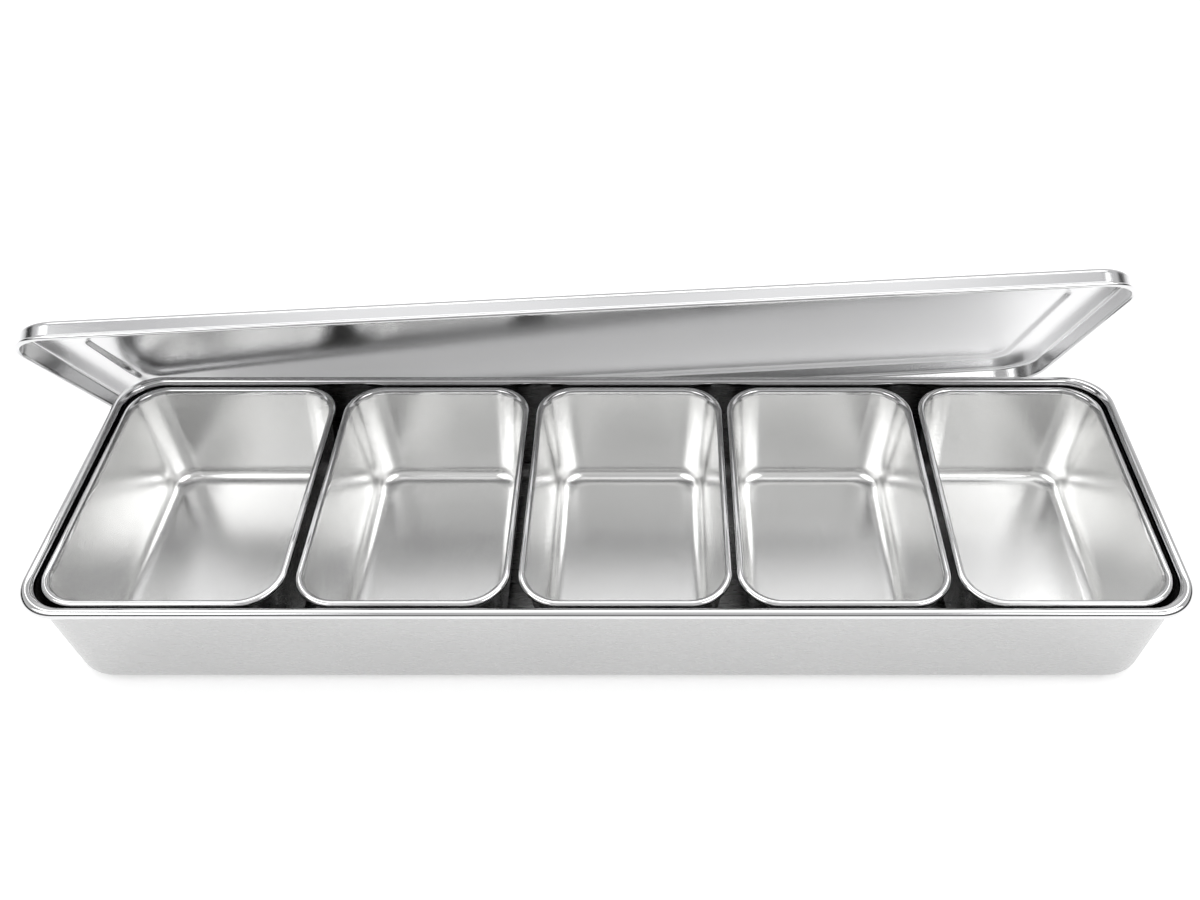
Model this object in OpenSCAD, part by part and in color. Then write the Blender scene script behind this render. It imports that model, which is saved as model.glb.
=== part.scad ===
// Condiment holder in pressed steel sheet: a long tray, five loose drop-in pans
// and a loose cover, which leans over the tray's back rim with its inside down.
// The origin is the middle of the tray's underside, +X to the right, +Y to the back.

/* [Tray] */
// Length of the tray over its rim
tray_w = 410; // [340:1:480]
// Depth of the tray over its rim, front to back
tray_d = 123.6; // [110:0.2:160]
// Height of the tray
tray_h = 49.7; // [40:0.1:60]
// Thickness of the tray's sheet
tray_sheet = 0.8; // [0.6:0.1:1]
// Radius of the curl around the tray's rim
tray_curl = 1.9; // [1.7:0.1:2.6]
// Lean of the tray's walls in degrees
tray_lean = 3.3; // [1:0.1:8]
// Radius between the tray's walls and its floor, on the inside
tray_fillet = 7; // [5:0.1:9]
// Radius of the tray's corners over the rim, seen from above
tray_corner = 16; // [13:0.1:22]
// Radius of the tray's corners at the floor, seen from above
tray_foot_corner = 12; // [9:0.1:14]

/* [Pans] */
// How far the pans' rims stand below the tray's rim
pan_drop = 1.8; // [1:0.1:4]
// How much wider the first pan is than the four others
pan_extra = 10.4; // [0:0.1:20]
// Gaps between neighbouring pans, from left to right
pan_gaps = [3.2, 2.7, 1.6, 2.2]; // [1:0.1:6]
// Gap between the tray's rim and the first and the last pan
pan_end_gap = 1.3; // [1.2:0.1:4]
// Gap between the tray's rim and the pans, at the front and at the back
pan_side_gap = 1.5; // [1.2:0.1:4]
// How far the pans sit behind the tray's middle
pan_shift = 0.4; // [0:0.1:1]
// Thickness of the pans' sheet
pan_sheet = 0.6; // [0.5:0.1:0.8]
// Radius of the curl around the pans' rims
pan_curl = 1.3; // [1:0.1:1.8]
// Lean of the pans' walls in degrees
pan_lean = 6.2; // [5:0.1:9]
// Radius between the pans' walls and their floor, on the inside
pan_fillet = 6; // [5:0.1:8]
// Radius of the pans' corners over the rim, seen from above
pan_corner = 15; // [12:0.1:18]
// Radius of the pans' corners at the floor, seen from above
pan_foot_corner = 8; // [5:0.1:9]
// Gap under the pans' floors
pan_seat = 0.3; // [0.2:0.1:0.6]

/* [Cover] */
// Play between the cover's flange and the tray's rim when it is closed
lid_play = 0.2; // [0.2:0.1:1]
// Thickness of the cover's sheet
lid_sheet = 0.7; // [0.5:0.1:1]
// Radius of the curl along the flange's edge
lid_curl = 0.9; // [0.8:0.1:1.6]
// Height of the flange, from the middle of its curl to the cover's border
lid_flange = 6.9; // [5.5:0.1:12]
// Lean of the flange in degrees
lid_lean = 2; // [0:0.5:2.5]
// Radius between the flange and the border, on the inside
lid_fillet = 1.4; // [1:0.1:1.6]
// Width of the flat border around the raised panel
lid_border = 17; // [12:0.5:17.5]
// How far the panel is raised above the border
lid_step = 1.2; // [1:0.1:2]
// Width of the slope between the border and the panel
lid_slope = 2.4; // [2:0.1:5]
// Radius of the panel's corners
lid_panel_corner = 9; // [6:0.5:14]

/* [Cover, as it leans] */
// Tilt of the cover in degrees, its back edge down
lid_tilt = 57.8; // [50:0.1:65]
// Turn of the cover that lifts its right end, in degrees
lid_roll = 1; // [0:0.05:3]
// Turn of the cover about the upright axis, right end back, in degrees
lid_yaw = 3.4; // [0:0.05:6]
// Shift of the cover to the left
lid_shift = 10.1; // [0:0.1:16]
// Gap between the cover's underside and the tray's back rim
lid_seat = 0.3; // [0.2:0.1:0.5]
// Height of the cover's lowest corner above the surface that the tray stands on
lid_foot = 0.3; // [0.2:0.1:1]

/* [Hidden] */

// Facets in a quarter turn of a corner, in a fillet and around a curl
corner_steps = 7;
fillet_steps = 4;
curl_steps = 9;

function total(list) = list * [for (entry = list) 1];

// Width of each of the four equal pans, from what the tray's opening leaves them
pan_count = 5;
tray_opening = tray_w - 4 * tray_curl;
pan_w = (tray_opening - 2 * pan_end_gap - total(pan_gaps) - pan_extra) / pan_count;
pan_d = tray_d - 4 * tray_curl - 2 * pan_side_gap;
pan_z = tray_sheet + pan_seat;
pan_h = tray_h - pan_drop - pan_z;

function pan_width(k) = k == 0 ? pan_w + pan_extra : pan_w;
function pan_left(k) = k == 0
    ? pan_end_gap - tray_opening / 2
    : pan_left(k - 1) + pan_width(k - 1) + pan_gaps[k - 1];
function pan_x(k) = pan_left(k) + pan_width(k) / 2;

lid_w = tray_w + 2 * lid_play + 4 * lid_curl;
lid_d = tray_d + 2 * lid_play + 4 * lid_curl;
lid_corner = tray_corner + lid_play + 2 * lid_curl;

// Points of an arc in a section, from angle a to angle b
function arc(centre, r, a, b, steps) =
    [for (k = [0:steps]) centre + r * [cos(a + (b - a) * k / steps), sin(a + (b - a) * k / steps)]];

// Middle of the curl's tube: inset from the rim's outer edge, and height
function curl_mid(h, curl) = [curl, h - curl];

// Middle of the floor fillets
function fillet_mid(h, curl, sheet, lean, fillet) =
    let (r = fillet + sheet, mid = curl_mid(h, curl))
    [mid[0] + (curl - sheet + r - (r - mid[1]) * sin(lean)) / cos(lean), r];

// Section of a leaning wall, from the outside of the floor over the curl to its inside
function wall_section(h, curl, sheet, lean, fillet) =
    let (
        mid = fillet_mid(h, curl, sheet, lean, fillet),
        start = lean - acos((curl - sheet) / curl)
    )
    concat(
        arc(mid, fillet + sheet, 270, 180 + lean, fillet_steps),
        arc(curl_mid(h, curl), curl, start, lean - 360, curl_steps),
        arc(mid, fillet, 180 + lean, 270, fillet_steps)
    );

// Section of the cover, its curl's middle at height 0, from the underside over the curl to the top
function lid_section() =
    let (
        under = lid_flange - lid_sheet,
        mid = [
            lid_curl + (lid_curl + lid_fillet + (under - lid_fillet) * sin(lid_lean)) / cos(lid_lean),
            under - lid_fillet
        ],
        start = lid_border + 2 * lid_curl,
        leave = acos((lid_curl - lid_sheet) / lid_curl)
    )
    concat(
        [[start + lid_slope, under + lid_step], [start, under]],
        arc(mid, lid_fillet, 90, 180 - lid_lean, fillet_steps),
        arc([lid_curl, 0], lid_curl, -lid_lean, leave - lid_lean - 360, curl_steps),
        arc(mid, lid_fillet + lid_sheet, 180 - lid_lean, 90, fillet_steps),
        [[start, lid_flange], [start + lid_slope, lid_flange + lid_step]]
    );

// Outline of a rectangle with round corners
function outline(w, d, r) =
    [for (q = [0:3]) for (k = [0:corner_steps])
        let (
            a = 90 * (q + k / corner_steps),
            sx = (q == 0 || q == 3) ? 1 : -1,
            sy = q < 2 ? 1 : -1
        )
        [sx * (w / 2 - r) + r * cos(a), sy * (d / 2 - r) + r * sin(a)]];

// A closed skin through a section's points: each is an outline drawn in by the point's inset.
// The corner radius goes from outer, at the rim, to inner, at the inset depth.
module skin(w, d, section, outer, inner, depth) {
    count = 4 * (corner_steps + 1);
    last = len(section) - 1;
    shrink = (outer - inner) / depth;
    points = [for (p = section)
        for (q = outline(w - 2 * p[0], d - 2 * p[0], outer - shrink * p[0])) [q[0], q[1], p[1]]];
    sides = [for (j = [0:last - 1]) for (k = [0:count - 1])
        let (next = (k + 1) % count)
        [j * count + next, j * count + k, (j + 1) * count + k, (j + 1) * count + next]];
    first_cap = [for (k = [0:count - 1]) k];
    last_cap = [for (k = [count - 1:-1:0]) last * count + k];
    polyhedron(points, concat(sides, [first_cap, last_cap]));
}

// A pressed pan with leaning walls and a curled rim, its underside at height 0
module pressed_pan(w, d, h, curl, sheet, lean, fillet, outer, inner) {
    skin(w, d, wall_section(h, curl, sheet, lean, fillet), outer, inner,
        fillet_mid(h, curl, sheet, lean, fillet)[0]);
}

module tray() {
    color("lightgray")
        pressed_pan(tray_w, tray_d, tray_h, tray_curl, tray_sheet, tray_lean, tray_fillet,
            tray_corner, tray_foot_corner);
}

module pan(k) {
    color("silver")
        translate([pan_x(k), pan_shift, pan_z])
            pressed_pan(pan_width(k), pan_d, pan_h, pan_curl, pan_sheet, pan_lean, pan_fillet,
                pan_corner, pan_foot_corner);
}

// The leaning cover's axes, seen in the tray's frame
lid_turn = [-lid_tilt, -lid_roll, lid_yaw];
lid_up = [
    cos(lid_yaw) * sin(-lid_roll) * cos(lid_tilt) - sin(lid_yaw) * sin(lid_tilt),
    sin(lid_yaw) * sin(-lid_roll) * cos(lid_tilt) + cos(lid_yaw) * sin(lid_tilt),
    cos(-lid_roll) * cos(lid_tilt)
];
// Height gained along the cover's length and along its depth
lid_rise = [sin(lid_roll), -cos(lid_roll) * sin(lid_tilt)];

// How far an outline reaches in a level direction, for the middle line of its curl
function reach(w, d, corner, curl, dir) =
    abs(dir[0]) * (w / 2 - corner) + abs(dir[1]) * (d / 2 - corner)
        + (corner - curl) * norm([dir[0], dir[1]]);

// The cover's lowest corner stands over the surface, and its raised panel rests on the tray's back rim
lid_z = lid_foot + lid_curl + reach(lid_w, lid_d, lid_corner, lid_curl, lid_rise);
lid_rest = tray_curl + lid_seat - (lid_flange - lid_sheet + lid_step)
    + reach(tray_w, tray_d, tray_corner, tray_curl, lid_up)
    + lid_up[2] * (tray_h - tray_curl);
lid_y = (lid_rest + lid_up[0] * lid_shift - lid_up[2] * lid_z) / lid_up[1];

module lid() {
    color("gainsboro")
        translate([-lid_shift, lid_y, lid_z])
            rotate(lid_turn)
                skin(lid_w, lid_d, lid_section(), lid_corner, lid_panel_corner,
                    lid_border + 2 * lid_curl);
}

tray();
lid();
pan(0);  // pan_1
pan(1);  // pan_2
pan(2);  // pan_3
pan(3);  // pan_4
pan(4);  // pan_5
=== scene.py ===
"""Looks of the condiment holder: smooth pressed-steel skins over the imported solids, steel and soft light."""

import math

import bpy
from mathutils import Euler, Matrix, Vector


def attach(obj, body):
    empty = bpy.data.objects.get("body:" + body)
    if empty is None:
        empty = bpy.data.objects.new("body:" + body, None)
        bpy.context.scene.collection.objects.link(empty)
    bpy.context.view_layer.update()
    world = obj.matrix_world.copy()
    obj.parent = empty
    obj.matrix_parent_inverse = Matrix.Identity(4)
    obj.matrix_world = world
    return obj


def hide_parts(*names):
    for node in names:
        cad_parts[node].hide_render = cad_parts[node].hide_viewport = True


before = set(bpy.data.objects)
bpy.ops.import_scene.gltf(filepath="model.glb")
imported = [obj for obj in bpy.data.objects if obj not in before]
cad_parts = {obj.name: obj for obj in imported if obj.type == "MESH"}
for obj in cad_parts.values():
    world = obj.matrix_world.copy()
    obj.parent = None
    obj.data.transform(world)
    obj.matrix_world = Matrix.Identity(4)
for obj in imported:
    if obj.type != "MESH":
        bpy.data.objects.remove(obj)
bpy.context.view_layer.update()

MM = 0.001

# Sizes in millimetres, the same as the solids'
TRAY = dict(w=410, d=123.6, h=49.7, curl=1.9, sheet=0.8, lean=3.3, fillet=7, corner=16, foot=12)
PAN_COUNT, PAN_DROP, PAN_EXTRA, PAN_GAPS = 5, 1.8, 10.4, (3.2, 2.7, 1.6, 2.2)
PAN_END_GAP, PAN_SIDE_GAP, PAN_SHIFT, PAN_SEAT = 1.3, 1.5, 0.4, 0.3
PAN = dict(curl=1.3, sheet=0.6, lean=6.2, fillet=6, corner=15, foot=8)
LID = dict(play=0.2, sheet=0.7, curl=0.9, flange=6.9, lean=2, fillet=1.4, border=17, step=1.2,
           slope=2.4, panel_corner=9)
LID_TILT, LID_ROLL, LID_YAW, LID_SHIFT, LID_SEAT, LID_FOOT = 57.8, 1, 3.4, 10.1, 0.3, 0.3

# Facets in a quarter turn of a corner, in a fillet, around a curl and across the panel's slope
CORNER_STEPS, FILLET_STEPS, CURL_STEPS, SLOPE_STEPS = 18, 9, 22, 6

# Where loops lie between a wall's two ends, as shares of its height
WALL_SHARES = (0.03, 0.2, 0.4, 0.6, 0.8, 0.97)
FLANGE_SHARES = (0.1, 0.5, 0.9)

# Loops that keep a flat face flat beside a bend, in millimetres from the bend, and the least corner radius
FLOOR_NEAR, FLOOR_FAR = 0.8, 3
BORDER_NEAR, PANEL_FAR = 1, 20
LEAST_CORNER = 1.5

# Places of the finishes in a skin's material slots
OUTSIDE, RIM, INSIDE = 0, 1, 2


# Sections: points of (inset from the outer edge, height)
def arc(centre, r, a, b, steps):
    return [(centre[0] + r * math.cos(math.radians(a + (b - a) * k / steps)),
             centre[1] + r * math.sin(math.radians(a + (b - a) * k / steps))) for k in range(steps + 1)]


def between(p, q, shares):
    return [(p[0] + (q[0] - p[0]) * s, p[1] + (q[1] - p[1]) * s) for s in shares]


def fillet_mid(s):
    """Middle of the floor's fillets."""
    r = s["fillet"] + s["sheet"]
    lean = math.radians(s["lean"])
    mid_z = s["h"] - s["curl"]
    inset = s["curl"] + (s["curl"] - s["sheet"] + r - (r - mid_z) * math.sin(lean)) / math.cos(lean)
    return inset, r


def wall_section(s):
    """A leaning wall's section, from the outside of the floor over the curl to its inside.

    Returns its points, where the rim starts, where it ends, where the finish after it ends, and the
    inset at which the corners have their foot radius.
    """
    mid, lean = fillet_mid(s), s["lean"]
    start = lean - math.degrees(math.acos((s["curl"] - s["sheet"]) / s["curl"]))
    outer = arc(mid, s["fillet"] + s["sheet"], 270, 180 + lean, FILLET_STEPS)
    curl = arc((s["curl"], s["h"] - s["curl"]), s["curl"], start, lean - 360, CURL_STEPS)
    inner = arc(mid, s["fillet"], 180 + lean, 270, FILLET_STEPS)
    near, far = mid[0] + FLOOR_NEAR, mid[0] + FLOOR_FAR
    points = [(far, 0), (near, 0)] + outer + between(outer[-1], curl[0], WALL_SHARES)
    rim_start = len(points)
    points += curl
    rim_end = len(points)
    points += between(curl[-1], inner[0], WALL_SHARES) + inner
    points += [(near, s["sheet"]), (far, s["sheet"])]
    return points, (rim_start, rim_end, len(points)), mid[0]


def lid_section():
    """The cover's section, its curl's middle at height 0, from the underside over the curl to the top."""
    s = LID
    under = s["flange"] - s["sheet"]
    lean = math.radians(s["lean"])
    mid = (s["curl"] + (s["curl"] + s["fillet"] + (under - s["fillet"]) * math.sin(lean)) / math.cos(lean),
           under - s["fillet"])
    start = s["border"] + 2 * s["curl"]
    leave = math.degrees(math.acos((s["curl"] - s["sheet"]) / s["curl"]))

    def border(z):
        slope = [(start + s["slope"] * k / SLOPE_STEPS,
                  z + s["step"] * (0.5 - 0.5 * math.cos(math.pi * k / SLOPE_STEPS)))
                 for k in range(SLOPE_STEPS + 1)]
        panel = [(start + s["slope"] + BORDER_NEAR, z + s["step"]),
                 (start + s["slope"] + PANEL_FAR, z + s["step"])]
        return [(mid[0] + BORDER_NEAR, z), (start - BORDER_NEAR, z)] + slope + panel

    inner = arc(mid, s["fillet"], 90, 180 - s["lean"], FILLET_STEPS)
    curl = arc((s["curl"], 0), s["curl"], -s["lean"], leave - s["lean"] - 360, CURL_STEPS)
    outer = arc(mid, s["fillet"] + s["sheet"], 180 - s["lean"], 90, FILLET_STEPS)
    points = border(under)[::-1] + inner + between(inner[-1], curl[0], FLANGE_SHARES)
    rim_start = len(points)
    points += curl
    rim_end = len(points)
    points += between(curl[-1], outer[0], FLANGE_SHARES) + outer
    flange_end = len(points)
    return points + border(s["flange"]), (rim_start, rim_end, flange_end), start


# Meshes
def outline(w, d, r):
    """Outline of a rectangle with round corners."""
    points = []
    for q in range(4):
        sx, sy = (1 if q in (0, 3) else -1), (1 if q < 2 else -1)
        for k in range(CORNER_STEPS + 1):
            a = math.radians(90 * (q + k / CORNER_STEPS))
            points.append((sx * (w / 2 - r) + r * math.cos(a), sy * (d / 2 - r) + r * math.sin(a)))
    return points


def skin(name, w, d, section, corners, place, mats):
    """A closed skin through the section's points: each is an outline drawn in by the point's inset.

    corners holds the corner radius at the rim and the one at the section's foot inset.
    """
    points, (rim_start, rim_end, next_end), depth = section
    outer, inner = corners
    shrink = (outer - inner) / depth
    count = 4 * (CORNER_STEPS + 1)
    verts, faces, finish = [], [], []
    for inset, z in points:
        r = max(outer - shrink * inset, LEAST_CORNER)
        for x, y in outline(w - 2 * inset, d - 2 * inset, r):
            verts.append(place @ Vector((x * MM, y * MM, z * MM)))
    for j in range(len(points) - 1):
        part = RIM if rim_start - 1 <= j < rim_end else INSIDE if rim_end <= j < next_end else OUTSIDE
        for k in range(count):
            n = (k + 1) % count
            faces.append((j * count + k, j * count + n, (j + 1) * count + n, (j + 1) * count + k))
            finish.append(part)
    last = (len(points) - 1) * count
    faces += [tuple(reversed(range(count))), tuple(range(last, last + count))]
    finish += [OUTSIDE, finish[-1]]
    mesh = bpy.data.meshes.new(name)
    mesh.from_pydata(verts, [], faces)
    for mat in mats:
        mesh.materials.append(mat)
    mesh.polygons.foreach_set("use_smooth", [True] * len(faces))
    mesh.polygons.foreach_set("material_index", finish)
    mesh.validate()
    mesh.update()
    piece = bpy.data.objects.new(name, mesh)
    bpy.context.scene.collection.objects.link(piece)
    return piece


def stand_for(piece, node):
    """The piece stands for a node of the frame and moves with it."""
    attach(piece, node)
    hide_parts(node)


# Materials
CLOUD_SCALE, CLOUD_DETAIL = 18, 3
SATIN_SCALE, RIM_SCALE, GRAIN_DETAIL = 1500, 900, 4
GRAIN_DEPTH = 0.000001
GRAIN_FROM, GRAIN_TO = 0.3, 0.7
ROUGH_LOW, ROUGH_HIGH = 0.93, 1.07
ALONG_X, ALONG_Y, EVEN = (0.1, 1, 1), (1, 0.1, 1), (1, 1, 1)


def steel(name, base, rough, grain, stretch, bump, wear=0.05):
    """Steel with a fine directional grain and a soft cloudy change of grey."""
    mat = bpy.data.materials.new(name)
    mat.use_nodes = True
    nodes, links = mat.node_tree.nodes, mat.node_tree.links
    bsdf = nodes["Principled BSDF"]
    bsdf.inputs["Metallic"].default_value = 1.0
    coord = nodes.new("ShaderNodeTexCoord")

    def noise(scale, detail, vector):
        node = nodes.new("ShaderNodeTexNoise")
        node.inputs["Scale"].default_value = scale
        node.inputs["Detail"].default_value = detail
        links.new(vector, node.inputs["Vector"])
        return node.outputs["Fac"]

    along = nodes.new("ShaderNodeMapping")
    along.inputs["Scale"].default_value = stretch
    links.new(coord.outputs["Object"], along.inputs["Vector"])
    fine = noise(grain, GRAIN_DETAIL, along.outputs["Vector"])
    cloud = noise(CLOUD_SCALE, CLOUD_DETAIL, coord.outputs["Object"])

    ramp = nodes.new("ShaderNodeValToRGB")
    ramp.color_ramp.elements[0].color = (*[c * (1 - wear) for c in base], 1)
    ramp.color_ramp.elements[1].color = (*[min(1, c * (1 + wear)) for c in base], 1)
    links.new(cloud, ramp.inputs["Fac"])
    links.new(ramp.outputs["Color"], bsdf.inputs["Base Color"])

    spread = nodes.new("ShaderNodeMapRange")
    spread.inputs["From Min"].default_value = GRAIN_FROM
    spread.inputs["From Max"].default_value = GRAIN_TO
    spread.inputs["To Min"].default_value = rough * ROUGH_LOW
    spread.inputs["To Max"].default_value = rough * ROUGH_HIGH
    links.new(fine, spread.inputs["Value"])
    links.new(spread.outputs["Result"], bsdf.inputs["Roughness"])

    hairs = nodes.new("ShaderNodeBump")
    hairs.inputs["Strength"].default_value = bump
    hairs.inputs["Distance"].default_value = GRAIN_DEPTH
    links.new(fine, hairs.inputs["Height"])
    links.new(hairs.outputs["Normal"], bsdf.inputs["Normal"])
    return mat


satin = steel("satin_steel", (0.53, 0.53, 0.53), 0.28, SATIN_SCALE, ALONG_X, 0.006)
# Painted light: the pans' insides are the same steel as their outsides, painted a lighter grey (0.86 against
# 0.53) so that they look more brightly lit
pan_painted_lighter = steel("pan_painted_lighter_steel", (0.86, 0.86, 0.855), 0.25, SATIN_SCALE, ALONG_Y, 0.01)
polished = steel("polished_rim_steel", (0.7, 0.7, 0.705), 0.08, RIM_SCALE, EVEN, 0.004, wear=0.02)
# Painted light and shade: the cover's panel and its flange are one steel. The panel is painted lighter so its
# underside looks lit, and the flange is painted darker so its highlight stays below white
cover_steel = steel("cover_steel", (0.84, 0.84, 0.845), 0.2, SATIN_SCALE, ALONG_X, 0.05)
flange_painted_darker = steel("cover_flange_painted_darker", (0.66, 0.66, 0.67), 0.2, SATIN_SCALE, ALONG_X, 0.05)

# Tray
tray = skin("tray_skin", TRAY["w"], TRAY["d"], wall_section(TRAY), (TRAY["corner"], TRAY["foot"]),
            Matrix.Identity(4), (satin, polished, satin))
stand_for(tray, "tray")

# Pans
opening = TRAY["w"] - 4 * TRAY["curl"]
pan_w = (opening - 2 * PAN_END_GAP - sum(PAN_GAPS) - PAN_EXTRA) / PAN_COUNT
pan_d = TRAY["d"] - 4 * TRAY["curl"] - 2 * PAN_SIDE_GAP
pan_z = TRAY["sheet"] + PAN_SEAT
PAN["h"] = TRAY["h"] - PAN_DROP - pan_z
left = PAN_END_GAP - opening / 2
for k in range(PAN_COUNT):
    w = pan_w + (PAN_EXTRA if k == 0 else 0)
    node = f"pan_{k + 1}"
    place = Matrix.Translation(((left + w / 2) * MM, PAN_SHIFT * MM, pan_z * MM))
    pan = skin(node + "_skin", w, pan_d, wall_section(PAN), (PAN["corner"], PAN["foot"]), place,
               (satin, polished, pan_painted_lighter))
    stand_for(pan, node)
    left += w + (PAN_GAPS[k] if k < len(PAN_GAPS) else 0)

# Cover: its lowest corner stands over the floor, and its raised panel rests on the tray's back rim
lid_w = TRAY["w"] + 2 * LID["play"] + 4 * LID["curl"]
lid_d = TRAY["d"] + 2 * LID["play"] + 4 * LID["curl"]
lid_corner = TRAY["corner"] + LID["play"] + 2 * LID["curl"]
turn = Euler([math.radians(v) for v in (-LID_TILT, -LID_ROLL, LID_YAW)], "XYZ").to_matrix()
up, rise = turn.col[2], turn.row[2]


def reach(w, d, corner, curl, x, y):
    """How far an outline reaches in a level direction, for the middle line of its curl."""
    return abs(x) * (w / 2 - corner) + abs(y) * (d / 2 - corner) + (corner - curl) * math.hypot(x, y)


lid_z = LID_FOOT + LID["curl"] + reach(lid_w, lid_d, lid_corner, LID["curl"], rise[0], rise[1])
lid_rest = (TRAY["curl"] + LID_SEAT - (LID["flange"] - LID["sheet"] + LID["step"])
            + reach(TRAY["w"], TRAY["d"], TRAY["corner"], TRAY["curl"], up[0], up[1])
            + up[2] * (TRAY["h"] - TRAY["curl"]))
lid_y = (lid_rest + up[0] * LID_SHIFT - up[2] * lid_z) / up[1]
lid_place = Matrix.Translation((-LID_SHIFT * MM, lid_y * MM, lid_z * MM)) @ turn.to_4x4()
# The panel's faces take the lighter-painted copy of the cover's steel, and the flange takes the darker-painted
# copy
lid = skin("lid_skin", lid_w, lid_d, lid_section(), (lid_corner, LID["panel_corner"]), lid_place,
           (cover_steel, polished, flange_painted_darker))
stand_for(lid, "lid")

# Floor
FLOOR_HALF, FLOOR_GREY, FLOOR_ROUGHNESS, FLOOR_GLOW = 6, 0.88, 0.9, 0.36
floor_mat = bpy.data.materials.new("floor")
floor_mat.use_nodes = True
floor_look = floor_mat.node_tree.nodes["Principled BSDF"].inputs
floor_look["Base Color"].default_value = (FLOOR_GREY, FLOOR_GREY, FLOOR_GREY, 1)
floor_look["Roughness"].default_value = FLOOR_ROUGHNESS
floor_look["Emission Color"].default_value = (1, 1, 1, 1)
floor_look["Emission Strength"].default_value = FLOOR_GLOW
floor_mesh = bpy.data.meshes.new("floor")
floor_mesh.from_pydata([(-FLOOR_HALF, -FLOOR_HALF, 0), (FLOOR_HALF, -FLOOR_HALF, 0),
                        (FLOOR_HALF, FLOOR_HALF, 0), (-FLOOR_HALF, FLOOR_HALF, 0)], [], [(0, 1, 2, 3)])
floor_mesh.materials.append(floor_mat)
floor = bpy.data.objects.new("floor", floor_mesh)
bpy.context.scene.collection.objects.link(floor)

# The sky's bands: height (sine of the elevation) and grey. The backdrop at the horizon is pale, and so is
# the back. A dark band lies low over the front and the sides, and the sky is brightest near the top.
SKY_STRENGTH = 1.22
HIGH_BANDS = ((0.46, 0.6), (0.87, 0.35), (0.945, 1.02), (0.988, 1.02), (0.999, 0.5))
FRONT_BANDS = ((0.09, 0.68), (0.13, 0.01), (0.37, 0.01), *HIGH_BANDS)
BACK_BANDS = ((0, 0.68), *HIGH_BANDS)
# From the front's bands to the back's, along Y
BACK_BLEND = ((0.3, 0), (0.65, 1))
world = bpy.data.worlds.new("studio")
bpy.context.scene.world = world
world.use_nodes = True
sky, sky_links = world.node_tree.nodes, world.node_tree.links
direction = sky.new("ShaderNodeTexCoord")
split = sky.new("ShaderNodeSeparateXYZ")
sky_links.new(direction.outputs["Generated"], split.inputs["Vector"])


def grey_ramp(along, steps):
    node = sky.new("ShaderNodeValToRGB")
    sky_links.new(split.outputs[along], node.inputs["Fac"])
    marks = node.color_ramp.elements
    while len(marks) < len(steps):
        marks.new(0.5)
    for mark, (at, grey) in zip(marks, steps):
        mark.position, mark.color = at, (grey, grey, grey, 1)
    return node.outputs["Color"]


blend = sky.new("ShaderNodeMixRGB")
sky_links.new(grey_ramp("Y", BACK_BLEND), blend.inputs["Fac"])
sky_links.new(grey_ramp("Z", FRONT_BANDS), blend.inputs["Color1"])
sky_links.new(grey_ramp("Z", BACK_BANDS), blend.inputs["Color2"])
sky_links.new(blend.outputs["Color"], sky["Background"].inputs["Color"])
sky["Background"].inputs["Strength"].default_value = SKY_STRENGTH

# Softboxes: name, place, width and height, power. All of them face the tray.
TRAY_CENTRE = Vector((0, 0, 0.03))
SOFTBOXES = (
    ("right", (0.9, -0.46, 1.0), (1.1, 0.5), 4.8),
    ("left", (-0.87, -0.50, 1.0), (1.1, 0.5), 3.7),
    ("back", (0, 0.55, 1.25), (2.2, 0.6), 7.4),
)
for name, at, (width, height), power in SOFTBOXES:
    box = bpy.data.lights.new(name, "AREA")
    box.shape = "RECTANGLE"
    box.size, box.size_y = width, height
    box.energy = power
    lamp = bpy.data.objects.new(name, box)
    lamp.location = at
    lamp.rotation_euler = (TRAY_CENTRE - Vector(at)).to_track_quat("-Z", "Y").to_euler()
    bpy.context.scene.collection.objects.link(lamp)

# Camera, as fitted to the photo: focal length and shift in pixels of its width, place over the tray's rim
PHOTO_WIDTH, FOCAL_PIXELS, SHIFT_PIXELS = 1200, 1105.28, -55.86
SENSOR_WIDTH, LOOK_DOWN, NEAREST, FARTHEST = 36, 45, 0.01, 50
CAMERA_X, CAMERA_Y, CAMERA_OVER_RIM = 0.01715, -0.28763, 0.30511
cam_data = bpy.data.cameras.new("camera")
cam_data.sensor_width = SENSOR_WIDTH
cam_data.lens = SENSOR_WIDTH * FOCAL_PIXELS / PHOTO_WIDTH
cam_data.shift_x = SHIFT_PIXELS / PHOTO_WIDTH
cam_data.clip_start, cam_data.clip_end = NEAREST, FARTHEST
cam = bpy.data.objects.new("camera", cam_data)
bpy.context.scene.collection.objects.link(cam)
cam.location = (CAMERA_X, CAMERA_Y, CAMERA_OVER_RIM + TRAY["h"] * MM)
cam.rotation_euler = (math.radians(90 - LOOK_DOWN), 0, 0)
bpy.context.scene.camera = cam
bpy.context.scene.view_settings.view_transform = "Standard"
